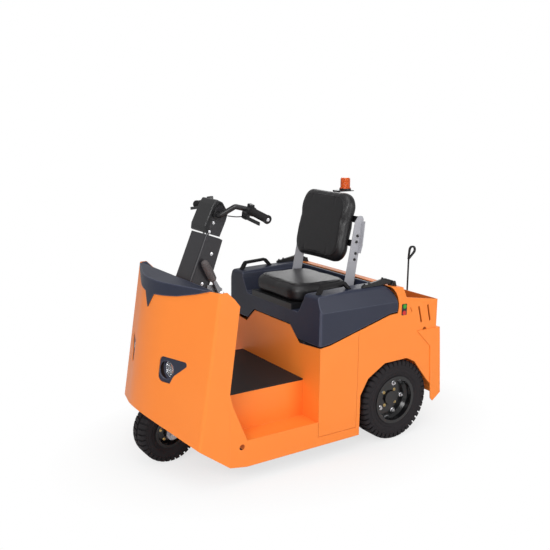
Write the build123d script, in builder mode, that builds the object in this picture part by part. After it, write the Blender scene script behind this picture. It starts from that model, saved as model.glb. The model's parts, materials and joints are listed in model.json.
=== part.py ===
"""Three-wheeled electric tow tractor with a seated driver, in millimetres.

The front faces -Y, the driver's left side is +X and +Z is up. The ground is z = 0 and the centreline x = 0.
Distances along the tractor are given from the rear axle, behind it positive, and the planes below place them.
Those of the nose, the column and the steering are given from the front axle, through the name front.
"""
import os
from math import acos, asin, atan2, cos, degrees, hypot, radians, sin, sqrt, tan

from build123d import *

os.makedirs("parts", exist_ok=True)

# Overall sizes
half_width = 380.0
sheet = 4.0
wheelbase = 988.0
sill_z = 70.0
seam = 0.3
lid_gap = 7.0
running = 0.05
touch = 0.2

# Rear wheels
rear_tyre_r = 190.0
rear_tyre_w = 114.0
rear_bead_r = 104.0
rear_rim_r = 113.0
rear_stub_r = 20.0
wheel_inset = 4.0
wheel_room = 132.0

# Front wheel and its fork
front_tyre_r = 136.0
front_tyre_w = 106.0
front_bead_r = 62.0
front_rim_r = 70.0
front_axle_r = 12.0
fork_gap = 9.0
fork_plate = 10.0
stem_r = 25.0
stem_l = 42.0
crown_gap = 12.0
crown_t = 16.0
boss_r = 33.0
nut_r = 18.0
nut_t = 12.0

# Deck and side steps
front = -wheelbase
deck_z = 336.0
deck_half = 258.0
deck_rear = -445.0
deck_front = front + 104.0
deck_nose = front + 44.0
step_z = 174.0
step_lip = 6.0
step_front = front + 185.0
step_slope_y = front + 118.0
belly_z = 80.0
bulkhead_y = front + 182.0
lashing_y = front + 160.0
lashing_z = 156.0
lashing_r = 12.5
panel_low_z = 112.0
mat_t = 6.0
mat_half = 330.0

# Front shield: a bent plate, swept back on both sides of a round nose and leaning back at the top
shield_top_z = 806.0
shield_bend_y = front + 61.0
shield_sweep = 20.0
shield_rake = 8.6
nose_r = 400.0
bend_r = 16.0
skirt_t = 3.0
cap_rear_y = front + 53.0
chin_z = 79.0
chin_slope = 0.735
flank_edge = ((93.0, shield_top_z), (125.0, 776.0), (150.0, 745.0), (104.0, 394.0), (104.0, chin_z))
cap_edge = ((0.0, 692.0), (40.0, 752.0), (109.0, 757.0), (176.0, 765.0), (266.0, 786.0), (330.0, shield_top_z))

# Headlamps
lamp_x = 160.0
lamp_z = 462.0
lamp_r = 36.0
lamp_depth = 22.0
bezel_t = 4.0
eye_corners = ((124.0, 515.0, 20.0), (285.0, 513.0, 12.0), (206.0, 446.0, 40.0), (190.0, 411.0, 4.0),
               (124.0, 411.0, 26.0))

# Column and steering head, in their side view from the front axle
column_half = 70.0
column_bend = 10.0
column_side = ((-102.0, deck_z), (31.0, deck_z), (246.0, 955.0), (231.0, 963.0), (169.0, 985.0), (90.0, 793.0))
steer_tilt = 19.1
steer_y = front + 203.0
steer_z = 973.0
shaft_r = 14.0
shaft_l = 84.0
bush_r = 23.0
head_half = 62.0
head_gap = 6.0
head_core = ((236.0, 968.0), (266.0, 1033.0), (277.0, 1066.0), (266.0, 1090.0), (240.0, 1101.0), (222.0, 1090.0),
             (189.0, 1015.0), (185.0, 985.7))
head_shell = ((266.3, 1090.4), (253.0, 1113.0), (223.0, 1128.0), (208.0, 1108.0), (166.0, 1020.0), (163.0, 993.3),
              (184.7, 985.8), (188.7, 1015.2), (221.7, 1090.3), (239.9, 1101.4))
bar_r = 11.0
bar_bend = 16.0
bar_route = ((head_half, 223.0, 1062.0), (88.0, 223.0, 1062.0), (124.0, 276.0, 1101.0), (152.0, 321.0, 1090.0),
             (300.0, 320.0, 1066.0))
collar_r = 18.0
collar_l = 8.0
grip_r = 16.0
grip_l = 112.0
clamp_r = 17.0
clamp_start = 9.0
clamp_l = 26.0
cable_r = 2.25

# Parking brake lever on the left of the column
brake_x = 90.0
brake_foot = (223.0, 730.0)
brake_neck = (191.0, 790.0)
brake_grip_l = 92.0

# Seat hood
hood_t = 4.0
hood_front = -447.0
hood_arc_y = -118.0
hood_arc_z = 640.0
hood_arc_r = 103.0
hood_fold_z = 660.0
hood_nose_z = 727.0
hood_brow_z = 736.0
hood_crown_z = 744.0
hood_brow_in = 28.0
hood_flat = 240.0
hood_low = ((hood_front, 515.0), (-390.0, 522.0), (-58.0, 612.0), (-18.0, 614.0))
mouth_low = 502.0
mouth_high = 568.0
mouth_wide = 224.0
mouth_narrow = 152.0
recess_half = 221.0
recess_wall = ((12.0, 643.0), (35.0, 701.0), (42.0, 721.0), (56.0, 735.0), (78.0, 752.0))
recess_z = 634.0
recess_rear = -110.0
hinge_y = -20.0
hinge_z = 744.0
hinge_eye = 8.0
arm_inset = 40.0
arm_x = half_width - arm_inset
arm_t = 12.0
hinge_pin_r = 4.0
arm_foot_z = 737.6
handle_inset = 62.0
handle_x = half_width - handle_inset
handle_w = 20.0

# Seat
pan_t = 27.0
cushion_half = 195.0
cushion_front = -450.0
cushion_l = 340.0
cushion_corner = 80.0
cushion_t = 78.0
back_half = 192.0
back_l = 342.0
back_corner = 75.0
back_t = 64.0
back_lean = 11.5
back_y = -155.0
back_z = 800.0
strap_x = 206.0
strap_t = 4.0
frame_t = 5.0
beacon_y = -35.0
beacon_z = 1138.0
beacon_r = 23.0
beacon_h = 52.0
beacon_plate_z = 1126.0
beacon_plate_l = 52.0

# Rear body
door_seam_y = -236.0
body_rear_y = 230.0
tub_front_y = 12.0
tub_floor_z = 500.0
well_half = half_width - wheel_room
well_front = -220.0
well_top_z = 404.0
rim_slope = 0.151
rim_y = -53.0
rim_front_z = 735.5
side_slots = ((113.0, 624.0, 135.0, 544.0, 10.0), (169.0, 625.0, 189.0, 545.0, 10.0), (62.0, 625.0, 72.0, 601.0, 4.0))
tub_top = ((225.0, 645.0), (35.0, 675.0), (tub_front_y, 724.0))
arch = ((-217.0, 256.0), (-175.0, 327.0), (-80.0, 383.0), (52.0, 386.0), (102.0, 361.0), (190.0, 252.0), (205.0, 237.0))
cheek_t = 4.0
cheek = ((108.0, 508.0), (251.0, 508.0), (257.0, 435.0), (276.0, 179.0), (228.0, 144.0), (213.0, 160.0),
         (207.0, 237.0), (195.0, 422.0))

# Battery and drive
tray_z = 114.0
battery_room = 9.0
battery_l = 320.0
battery_h = 440.0
battery_y = -267.0
gear_r = 92.0
motor_r = 74.0
motor_l = 116.0

# Tow coupling
pin_y = 395.0
jaw_z = 345.0
jaw_gap = 56.0
jaw_ear = 18.0
jaw_r = 45.0
pin_r = 14.0
pin_clear = 1.0
pin_tip = 14.0
rod_r = 4.5

crown_z = 2 * front_tyre_r + crown_gap
boss_low = crown_z + crown_t + seam
front_reach = wheelbase + front_tyre_r
rear_reach = pin_y + jaw_r
axle_y = (front_reach - rear_reach) / 2
post_top = (beacon_plate_z + 1.3 - back_z) / cos(radians(back_lean))


def side(x, y=0.0):
    """Plane across x: its own axes are the distance behind the rear axle plus y, and the height."""
    return Plane(origin=(x, axle_y + y, 0), x_dir=(0, 1, 0), z_dir=(1, 0, 0))


def level(z, y=0.0):
    """Horizontal plane at height z: its own axes are x and the distance behind the rear axle plus y."""
    return Plane(origin=(0, axle_y + y, z))


def across(y, x=0.0):
    """Upright plane facing forward at the distance y: its own axes are x and the height."""
    return Plane(origin=(x, axle_y + y, 0), x_dir=(1, 0, 0), z_dir=(0, -1, 0))


def save(piece, name):
    """Label a finished piece and write its file."""
    piece.part.label = name
    export_step(piece.part, f"parts/{name}.step")


def face_of(*points):
    """Filled outline through the points."""
    with BuildSketch() as outline:
        with BuildLine():
            Polyline(*points, close=True)
        make_face()
    return outline.sketch


def hull_of(*circles):
    """Filled outline round circles given as (a, b, radius)."""
    with BuildSketch() as outline:
        with BuildLine():
            for a, b, radius in circles:
                CenterArc((a, b), radius, 0, 360)
        make_hull()
    return outline.sketch


def soft_face(*corners):
    """Filled outline through corners given as (a, b, corner radius)."""
    with BuildSketch() as outline:
        with BuildLine():
            Polyline(*[(a, b) for a, b, _ in corners], close=True)
        make_face()
        for a, b, radius in corners:
            if radius:
                fillet([v for v in outline.vertices() if abs(v.X - a) < 0.1 and abs(v.Y - b) < 0.1], radius)
    return outline.sketch


def hood_edge_z(y, drop=0.0):
    """Height of the hood's lower side edge at y, lowered by drop."""
    for (ya, za), (yb, zb) in zip(hood_low, hood_low[1:]):
        if y <= yb:
            break
    return za + (zb - za) * (y - ya) / (yb - ya) - drop


def prow(back_y, out=0.0):
    """Filled plan of the shield's outline at its top edge, moved outward by out and closed at back_y."""
    sweep = radians(shield_sweep)
    radius = nose_r + out
    bend_x = half_width + out
    bend_y = shield_bend_y - out / cos(sweep) + out * tan(sweep)
    touch_x = radius * sin(sweep)
    touch_y = bend_y - (bend_x - touch_x) * tan(sweep)
    apex_y = touch_y - radius * (1 - cos(sweep))
    with BuildSketch() as plan:
        with BuildLine():
            Polyline((touch_x, touch_y), (bend_x, bend_y), (bend_x, back_y), (-bend_x, back_y),
                     (-bend_x, bend_y), (-touch_x, touch_y))
            ThreePointArc((-touch_x, touch_y), (0, apex_y), (touch_x, touch_y))
        make_face()
        fillet([v for v in plan.vertices() if abs(v.Y - bend_y) < 0.01], bend_r + out)
    return plan.sketch


def raked(top_z, low_z):
    """Length along the rake from top_z down to low_z."""
    return (top_z - low_z) / cos(radians(shield_rake))


def wing_y(x, z):
    """Outer face of the shield's flat wing at x and height z."""
    return (shield_bend_y - (shield_top_z - z) * tan(radians(shield_rake))
            - (half_width - abs(x)) * tan(radians(shield_sweep)))


rake_dir = (0, -sin(radians(shield_rake)), -cos(radians(shield_rake)))
prow_back = front + 388.0
tilt_dir = (0, sin(radians(steer_tilt)), cos(radians(steer_tilt)))
head_plane = Plane(origin=(0, axle_y + steer_y, steer_z), x_dir=(1, 0, 0), z_dir=tilt_dir)

# Deck with its two side steps, one welded piece, open below
step_low = step_z - sheet
plate_x = half_width - sheet
with BuildPart() as platform:
    with BuildSketch(level(deck_z)):
        add(face_of((0, deck_rear), (deck_half, deck_rear), (deck_half, step_slope_y), (plate_x, step_slope_y),
                    (plate_x, deck_nose), (0, deck_nose - 115)))
    extrude(amount=-sheet)
    with BuildSketch(side(deck_half - sheet)):
        add(face_of((deck_rear, step_low), (step_front, step_low), (step_slope_y, deck_z - sheet),
                    (deck_rear, deck_z - sheet)))
    extrude(amount=sheet)
    with BuildSketch(side(deck_half)):
        add(face_of((deck_rear, step_z), (step_front, step_z), (step_slope_y, deck_z),
                    (step_slope_y - sheet, deck_z - sheet), (step_front - sheet, step_low), (deck_rear, step_low)))
    extrude(amount=plate_x - deck_half)
    with BuildSketch(side(plate_x)):
        add(face_of((deck_front, chin_z), (bulkhead_y, sill_z - 4), (door_seam_y, sill_z),
                    (door_seam_y, panel_low_z - 2), (deck_rear - 2, panel_low_z - 2),
                    (deck_rear - 2, step_z + step_lip), (step_front, step_z + step_lip), (step_slope_y, deck_z),
                    (deck_front, deck_z + 56)))
        with Locations((lashing_y, lashing_z)):
            Circle(lashing_r, mode=Mode.SUBTRACT)
    extrude(amount=sheet)
    with BuildSketch(across(bulkhead_y)):
        add(face_of((0, belly_z), (plate_x, belly_z), (plate_x, step_low), (deck_half, step_low),
                    (deck_half, deck_z - sheet), (0, deck_z - sheet)))
    extrude(amount=-sheet)
    with BuildSketch(level(belly_z)):
        add(face_of((0, bulkhead_y), (plate_x, bulkhead_y), (plate_x, door_seam_y), (0, door_seam_y)))
    extrude(amount=sheet)
    mirror(about=Plane.YZ)
    with BuildSketch(level(boss_low, front)):
        Circle(boss_r)
    extrude(amount=deck_z - boss_low)
    with BuildSketch(level(crown_z, front)):
        Circle(stem_r + running)
    extrude(amount=deck_z + sheet - crown_z, mode=Mode.SUBTRACT)
save(platform, "platform")

with BuildPart() as floor_mat:
    with BuildSketch(level(deck_z)):
        add(face_of((deck_half, deck_rear - 1), (deck_half, step_slope_y), (mat_half, step_slope_y),
                    (mat_half, deck_front - 21), (-mat_half, deck_front - 21), (-mat_half, step_slope_y),
                    (-deck_half, step_slope_y), (-deck_half, deck_rear - 1)))
        with Locations((0, front - 15)):
            Rectangle(2 * column_half + 6, 220, mode=Mode.SUBTRACT)
    extrude(amount=mat_t)
save(floor_mat, "floor_mat")

# Shield: the bent plate leans along the rake and is trimmed to its side view
with BuildPart() as front_shield:
    with BuildSketch(level(shield_top_z)):
        add(prow(prow_back))
        add(prow(prow_back + 10, -sheet), mode=Mode.SUBTRACT)
    extrude(amount=raked(shield_top_z, 0), dir=rake_dir)
    with BuildSketch(side(-half_width, front)):
        add(face_of((-212, shield_top_z), *flank_edge, (-212, chin_z + chin_slope * 316)))
    extrude(amount=2 * half_width, mode=Mode.INTERSECT)
    with BuildSketch(across(front + 45)):
        add(soft_face(*eye_corners))
        mirror(about=Plane.YZ)
    extrude(amount=200, mode=Mode.SUBTRACT)
save(front_shield, "front_shield")

# Moulded cap over the shield's top edge with a pointed front
with BuildPart() as nose_cover:
    with BuildSketch(level(shield_top_z + sheet)):
        add(prow(prow_back, skirt_t))
    extrude(amount=raked(shield_top_z + sheet, 680), dir=rake_dir)
    with BuildSketch(side(-half_width)):
        add(face_of((cap_rear_y - 265, 600), (cap_rear_y, 600), (cap_rear_y, 815), (cap_rear_y - 265, 815)))
    extrude(amount=2 * half_width, mode=Mode.INTERSECT)
    with BuildSketch(level(shield_top_z)):
        add(prow(prow_back))
    extrude(amount=raked(shield_top_z, 640), dir=rake_dir, mode=Mode.SUBTRACT)
    with BuildSketch(across(front + 288)):
        add(face_of(*cap_edge, (cap_edge[-1][0], 815), (-cap_edge[-1][0], 815),
                    *[(-x, z) for x, z in reversed(cap_edge[1:])]))
    extrude(amount=500, mode=Mode.INTERSECT)
save(nose_cover, "nose_cover")

# Headlamps: a dark plate behind each opening, a round bowl with its bezel, and a clear lens
lamp_y = wing_y(lamp_x, lamp_z) + lamp_depth
lamp_seat = Plane(origin=(lamp_x, axle_y + lamp_y, lamp_z), x_dir=(0, 0, 1), z_dir=(1, 0, 0))
with BuildPart() as headlamps:
    with BuildSketch(lamp_seat):
        add(face_of((lamp_r, -6), (lamp_r, bezel_t), (lamp_r - bezel_t, bezel_t), (lamp_r - bezel_t, -seam),
                    (lamp_r - 12, -16), (9, -22), (0, -22), (0, -28), (14, -28), (lamp_r - 7, -20)))
    revolve(axis=Axis((lamp_x, axle_y + lamp_y, lamp_z), (0, 1, 0)))
    mirror(about=Plane.YZ)
save(headlamps, "headlamps")
with BuildPart() as headlamp_lenses:
    with BuildSketch(across(lamp_y, lamp_x)):
        with Locations((0, lamp_z)):
            Circle(lamp_r - bezel_t - running)
    extrude(amount=3)
    mirror(about=Plane.YZ)
save(headlamp_lenses, "headlamp_lenses")
with BuildPart() as lamp_plates:
    with BuildSketch(level(shield_top_z)):
        add(prow(prow_back, -sheet - touch))
        add(prow(prow_back + 10, -sheet - 5), mode=Mode.SUBTRACT)
    extrude(amount=raked(shield_top_z, 300), dir=rake_dir)
    with BuildSketch(across(front + 88)):
        add(face_of((106, 396), (106, 532), (300, 532), (300, 396)))
    extrude(amount=300, mode=Mode.INTERSECT)
    with BuildSketch(across(lamp_y + 12, lamp_x)):
        with Locations((0, lamp_z)):
            Circle(lamp_r + 5)
    extrude(amount=lamp_depth)
    with BuildSketch(across(lamp_y + 60, lamp_x)):
        with Locations((0, lamp_z)):
            Circle(lamp_r + touch)
    extrude(amount=200, mode=Mode.SUBTRACT)
    with BuildSketch(level(shield_top_z)):
        add(prow(prow_back, -sheet - touch))
    extrude(amount=raked(shield_top_z, 300), dir=rake_dir, mode=Mode.INTERSECT)
    mirror(about=Plane.YZ)
save(lamp_plates, "lamp_plates")

# Column: a leaning hollow box from the deck to below the steering head, with a bush for the shaft
with BuildPart() as steering_column:
    with BuildSketch(side(-column_half, front)):
        add(face_of(*column_side))
    extrude(amount=2 * column_half)
    front_edges = [e for e in steering_column.edges().filter_by(GeomType.LINE)
                   if e.length > 180 and abs(e.center().Z - (793 + 985) / 2) < 5]
    fillet(front_edges, column_bend)
    with BuildSketch(side(-column_half + sheet, front)):
        add(offset(face_of(*column_side), amount=-sheet, kind=Kind.INTERSECTION))
        add(face_of((-97.5, deck_z - 10), (26.5, deck_z - 10), (26.5, deck_z + 20), (-95, deck_z + 20)))
    extrude(amount=2 * (column_half - sheet), mode=Mode.SUBTRACT)
    with BuildSketch(head_plane.offset(-1)):
        Circle(bush_r)
    extrude(amount=-50)
    with BuildSketch(head_plane):
        Circle(shaft_r + running)
    extrude(amount=60, both=True, mode=Mode.SUBTRACT)
save(steering_column, "steering_column")

# Parking brake on the column's left side: a pivot plate, two straps and a round grip
brake_pin = Vector(brake_x, axle_y + front + brake_foot[0], brake_foot[1])
brake_top = Vector(brake_x, axle_y + front + brake_neck[0], brake_neck[1])
brake_dir = (brake_top - brake_pin).normalized()
brake_end = brake_top - brake_dir * 7.5
grip_plane = Plane(origin=brake_top, x_dir=(1, 0, 0), z_dir=brake_dir)
with BuildPart() as parking_brake_lever:
    with BuildSketch(side(column_half, front)):
        add(face_of((168, 720), (240, 720), (240, 748), (208, 768), (168, 768)))
    extrude(amount=6)
    with BuildSketch(side(column_half, front)):
        with Locations(brake_foot):
            Circle(13)
    extrude(amount=brake_x - column_half + 11)
    for x in (brake_x - 9, brake_x + 5):
        with BuildSketch(side(x, front)):
            add(hull_of((*brake_foot, 11), (brake_end.Y - axle_y - front, brake_end.Z, 7)))
        extrude(amount=4)
    with BuildSketch(grip_plane.offset(-8)):
        Rectangle(18, 12)
    extrude(amount=8)
    with BuildSketch(grip_plane):
        Circle(6)
    extrude(amount=40)
save(parking_brake_lever, "parking_brake_lever")
with BuildPart() as parking_brake_grip:
    with BuildSketch(Plane(origin=brake_top, x_dir=(1, 0, 0), z_dir=Vector(1, 0, 0).cross(brake_dir))):
        add(face_of((0, 41), (6.2, 41), (6.2, touch), (12, touch), (15, 26), (16, 58), (13, brake_grip_l - 8),
                    (8, brake_grip_l), (0, brake_grip_l)))
    revolve(axis=Axis(brake_top, brake_dir))
save(parking_brake_grip, "parking_brake_grip")

# Steering head: turns about the leaning axis and carries the bars; a glossy cover closes its front and top
with BuildPart() as steering_head:
    with BuildSketch(side(-head_half, front)):
        add(face_of(*head_core))
    extrude(amount=2 * head_half)
    rear_edges = [e for e in steering_head.edges().filter_by(Axis.X) if e.center().Y > axle_y + front + 262]
    fillet(rear_edges, 6)
save(steering_head, "steering_head")
with BuildPart() as head_cover:
    with BuildSketch(side(-head_half, front)) as cover_side:
        add(face_of(*head_shell))
        fillet([v for v in cover_side.vertices() if v.Y > 1104 or v.X < 167], 8)
    extrude(amount=2 * head_half)
    ends = [e for x in (-head_half, head_half) for e in head_cover.faces().filter_by(Plane.YZ).edges()
            if abs(e.center().X - x) < 0.1 and (e.center().Z > 1104 or e.center().Y < axle_y + front + 183)]
    fillet(ends, 3)
save(head_cover, "head_cover")
with BuildPart() as steering_shaft:
    with BuildSketch(head_plane.offset(head_gap + running)):
        Circle(shaft_r)
    extrude(amount=-shaft_l - head_gap)
save(steering_shaft, "steering_shaft")

# Handlebar: one bent tube on each side of the head, with its collar, grip, brake lever and cable
bar_points = [Vector(x, axle_y + front + y, z) for x, y, z in bar_route]
bar_knee = bar_points[3]
bar_end = bar_points[4]
bar_dir = (bar_end - bar_knee).normalized()
bar_up = bar_dir.cross(Vector(0, 1, 0)).normalized()
knee_plane = Plane(origin=bar_knee, x_dir=Vector(0, 0, 1), z_dir=bar_dir)
with BuildPart() as handlebar:
    with BuildLine() as bar_line:
        FilletPolyline(*bar_points, radius=bar_bend)
    with BuildSketch(Plane(origin=bar_points[0], z_dir=(1, 0, 0))):
        Circle(bar_r)
    sweep()
    with BuildSketch(Plane(origin=bar_points[0], z_dir=(1, 0, 0))):
        Circle(collar_r)
    extrude(amount=collar_l)
    mirror(about=Plane.YZ)
save(handlebar, "handlebar")
grip_end = (bar_end - bar_knee).length
with BuildPart() as hand_grips:
    for start, radius, length in ((-grip_l, grip_r + 4, 4), (4 - grip_l, grip_r, grip_l - 4 + touch)):
        with BuildSketch(knee_plane.offset(grip_end + start)):
            Circle(radius)
            Circle(bar_r + touch, mode=Mode.SUBTRACT)
        extrude(amount=length)
    with BuildSketch(knee_plane.offset(grip_end + touch)):
        Circle(grip_r + 2)
    extrude(amount=10)
    mirror(about=Plane.YZ)
save(hand_grips, "hand_grips")

# Brake levers: a clamp on the bar with its housing, a blade in front of the grip, and the cable to the head
lever_plane = Plane(origin=bar_knee, x_dir=bar_dir, z_dir=bar_up)
clamp_end = clamp_start + clamp_l
with BuildPart() as brake_levers:
    with BuildSketch(knee_plane.offset(clamp_start)):
        Circle(clamp_r)
        with Locations((-18, 21)):
            RectangleRounded(32, 24, 5)
        with Locations((20, 0)):
            RectangleRounded(16, 20, 4)
        Circle(bar_r + touch, mode=Mode.SUBTRACT)
    extrude(amount=clamp_l)
    with BuildSketch(lever_plane.offset(-24)):
        add(soft_face((clamp_start + 8, -28, 0), (clamp_start + 16, -40, 4), (64, -42, 20), (152, -37, 3),
                      (152, -30, 3), (64, -35, 20), (clamp_end + 8, -30, 4), (clamp_end - 3, -20, 0)))
    extrude(amount=13)
    mirror(about=Plane.YZ)
save(brake_levers, "brake_levers")
cable_end = knee_plane.from_local_coords((-27, 24, clamp_start)) - bar_dir * 0.9
cable_points = (Vector(head_half + 0.9, axle_y + front + 276, 1055), Vector(110, axle_y + front + 289, 1055), cable_end)
cable_runs = [b - a for a, b in zip(cable_points, cable_points[1:])]
cable_bend = 0.45 * min(run.length for run in cable_runs) / tan(radians(cable_runs[0].get_angle(cable_runs[1]) / 2))
with BuildPart() as brake_cable:
    with BuildLine():
        FilletPolyline(*cable_points, radius=cable_bend)
    with BuildSketch(Plane(origin=cable_points[0], z_dir=cable_runs[0])):
        Circle(cable_r)
    sweep()
    mirror(about=Plane.YZ)
save(brake_cable, "brake_cable")


def wheel_plane(x, y, z):
    """Plane through the axle at the wheel's middle: its own axes are x and the radius."""
    return Plane(origin=(x, axle_y + y, z), x_dir=(1, 0, 0), z_dir=(0, -1, 0))


def wheel_axis(x, y, z):
    """Axle line of the wheel whose middle is at x, y, z."""
    return Axis((x, axle_y + y, z), (1, 0, 0))


def tyre_section(half, bead, bead_r, rim_r, tyre_r, bulge_r, bulge):
    """Section of a solid tyre with rounded shoulders and a bulge of radius bulge at bulge_r."""
    with BuildSketch() as section:
        with BuildLine():
            Polyline((-bead, bead_r), (bead, bead_r), (bead, rim_r + 1), (half, bulge_r), (half - 3, tyre_r - 12),
                     (half - 12, tyre_r), (12 - half, tyre_r), (3 - half, tyre_r - 12), (-half, bulge_r),
                     (-bead, rim_r + 1), close=True)
        make_face()
        fillet([v for v in section.vertices() if abs(v.Y - bulge_r) < 1], bulge)
    return section.sketch


# Wheels: each has a tyre and a steel rim turned about its axle
rear_bead = rear_tyre_w / 2 - 7
rear_wheel_x = half_width - wheel_inset - rear_tyre_w / 2
stub_end = rear_wheel_x - 11
rear_rim_side = ((-rear_bead - 4, rear_rim_r), (-rear_bead, rear_rim_r), (-rear_bead, rear_bead_r),
                 (rear_bead, rear_bead_r), (rear_bead, rear_rim_r), (rear_bead + 4, rear_rim_r),
                 (rear_bead + 4, rear_bead_r - 6), (26, rear_bead_r - 6), (12, rear_bead_r - 18), (12, 36), (22, 32),
                 (22, 0), (-8, 0), (-8, rear_stub_r + running), (-54, rear_stub_r + running), (-54, 40), (0, 40),
                 (4, 50), (4, rear_bead_r - 16), (14, rear_bead_r - 6), (-rear_bead - 4, rear_bead_r - 6))
for hand, sign in (("left", 1), ("right", -1)):
    hub = (sign * rear_wheel_x, 0, rear_tyre_r)
    with BuildPart() as rear_tyre:
        with BuildSketch(wheel_plane(*hub)):
            add(tyre_section(rear_tyre_w / 2, rear_bead, rear_bead_r, rear_rim_r, rear_tyre_r, 145, 25))
        revolve(axis=wheel_axis(*hub))
    save(rear_tyre, f"rear_tyre_{hand}")
    with BuildPart() as rear_rim:
        with BuildSketch(wheel_plane(*hub)):
            add(face_of(*[(sign * x, r) for x, r in rear_rim_side]))
        revolve(axis=wheel_axis(*hub))
    save(rear_rim, f"rear_rim_{hand}")

front_half = front_tyre_w / 2
front_bead = front_half - 8
hub = (0, front, front_tyre_r)
with BuildPart() as front_tyre:
    with BuildSketch(wheel_plane(*hub)):
        add(tyre_section(front_half, front_bead, front_bead_r, front_rim_r, front_tyre_r, 103, 20))
    revolve(axis=wheel_axis(*hub))
save(front_tyre, "front_tyre")
with BuildPart() as front_rim:
    with BuildSketch(wheel_plane(*hub)):
        add(face_of((front_bead + 4, front_rim_r), (front_bead, front_rim_r), (front_bead, front_bead_r),
                    (0, front_bead_r), (0, front_axle_r + running), (front_half - 2, front_axle_r + running),
                    (front_half - 2, 26), (front_half - 20, 28), (front_half - 26, front_bead_r - 6),
                    (front_bead + 4, front_bead_r - 5)))
        mirror(about=Plane.YZ)
    revolve(axis=wheel_axis(*hub))
save(front_rim, "front_rim")

# Fork: a crown on a stem that turns in the deck's bearing, and two legs that hold the axle
leg_x = front_half + fork_gap
with BuildPart() as front_fork:
    with BuildSketch(side(leg_x, front)):
        add(hull_of((0, front_tyre_r, 26), (20, crown_z - 6, 22), (44, crown_z - 6, 20)))
    extrude(amount=fork_plate)
    mirror(about=Plane.YZ)
    with BuildSketch(level(crown_z, front)):
        with Locations((0, 16)):
            RectangleRounded(2 * (leg_x + fork_plate), 96, 12)
    extrude(amount=crown_t)
    with BuildSketch(level(crown_z + crown_t, front)):
        Circle(stem_r)
    extrude(amount=stem_l)
    with BuildSketch(side(-leg_x - fork_plate, front)):
        with Locations((0, front_tyre_r)):
            Circle(front_axle_r)
    extrude(amount=2 * (leg_x + fork_plate), mode=Mode.SUBTRACT)
save(front_fork, "front_fork")
with BuildPart() as front_axle:
    with BuildSketch(side(0, front)):
        with Locations((0, front_tyre_r)):
            Circle(front_axle_r)
    extrude(amount=leg_x + fork_plate)
    with BuildSketch(side(leg_x + fork_plate, front)):
        with Locations((0, front_tyre_r)):
            RegularPolygon(nut_r, 6)
    extrude(amount=nut_t)
    mirror(about=Plane.YZ)
save(front_axle, "front_axle")

# Rear axle with its gear case and motor, hung between the wheel wells
with BuildPart() as rear_axle:
    for reach, radius in ((well_half - sheet, 36), (62, gear_r), (stub_end, rear_stub_r)):
        with BuildSketch(side(0)):
            with Locations((0, rear_tyre_r)):
                Circle(radius)
        extrude(amount=reach, both=True)
    for x in (sheet - well_half, well_half - sheet - 12):
        with BuildSketch(side(x)):
            with Locations((0, rear_tyre_r)):
                RectangleRounded(110, 110, 16)
        extrude(amount=12)
save(rear_axle, "rear_axle")
with BuildPart() as drive_motor:
    with BuildSketch(across(gear_r + seam)):
        with Locations((0, rear_tyre_r + 12)):
            Circle(motor_r)
    extrude(amount=-motor_l)
save(drive_motor, "drive_motor")

# Seat box: the front panel, the battery tray and the posts behind the side panels
with BuildPart() as seat_box:
    with BuildSketch(across(deck_rear)):
        add(face_of((0, tray_z), (plate_x, tray_z), (plate_x, hood_low[0][1] - lid_gap),
                    (mouth_wide - 2, mouth_low - lid_gap), (mouth_narrow - 3, mouth_high - lid_gap + 1),
                    (0, mouth_high - lid_gap + 1)))
    extrude(amount=-sheet)
    with BuildSketch(level(tray_z)):
        add(face_of((0, deck_rear), (plate_x, deck_rear), (plate_x, door_seam_y), (0, door_seam_y)))
    extrude(amount=-sheet)
    with BuildSketch(side(plate_x - 28)):
        add(face_of((deck_rear, tray_z), (deck_rear + 24, tray_z), (deck_rear + 24, 496), (deck_rear, 490)))
    extrude(amount=28)
    mirror(about=Plane.YZ)
save(seat_box, "seat_box")
with BuildPart() as side_panels:
    with BuildSketch(side(plate_x)):
        add(face_of((deck_rear, panel_low_z), (door_seam_y - 1.5, panel_low_z),
                    (door_seam_y - 1.5, hood_edge_z(door_seam_y, lid_gap)), (-390, hood_edge_z(-390, lid_gap)),
                    (deck_rear, hood_edge_z(deck_rear, lid_gap))))
    extrude(amount=sheet)
    mirror(about=Plane.YZ)
save(side_panels, "side_panels")
with BuildPart() as battery:
    with BuildSketch(level(tray_z, battery_y)):
        RectangleRounded(2 * (well_half - sheet - battery_room), battery_l, 8)
    extrude(amount=battery_h)
save(battery, "battery")


def on_arc(radius, z):
    """Point at height z on the arc of that radius about the centre of the hood's rounded rear."""
    return hood_arc_y + sqrt(radius ** 2 - (z - hood_arc_z) ** 2), z


def rim_z(y):
    """Height of the rear body's crosswise rim at y."""
    return tub_top[2][1] + (tub_front_y - y) * rim_slope


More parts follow.
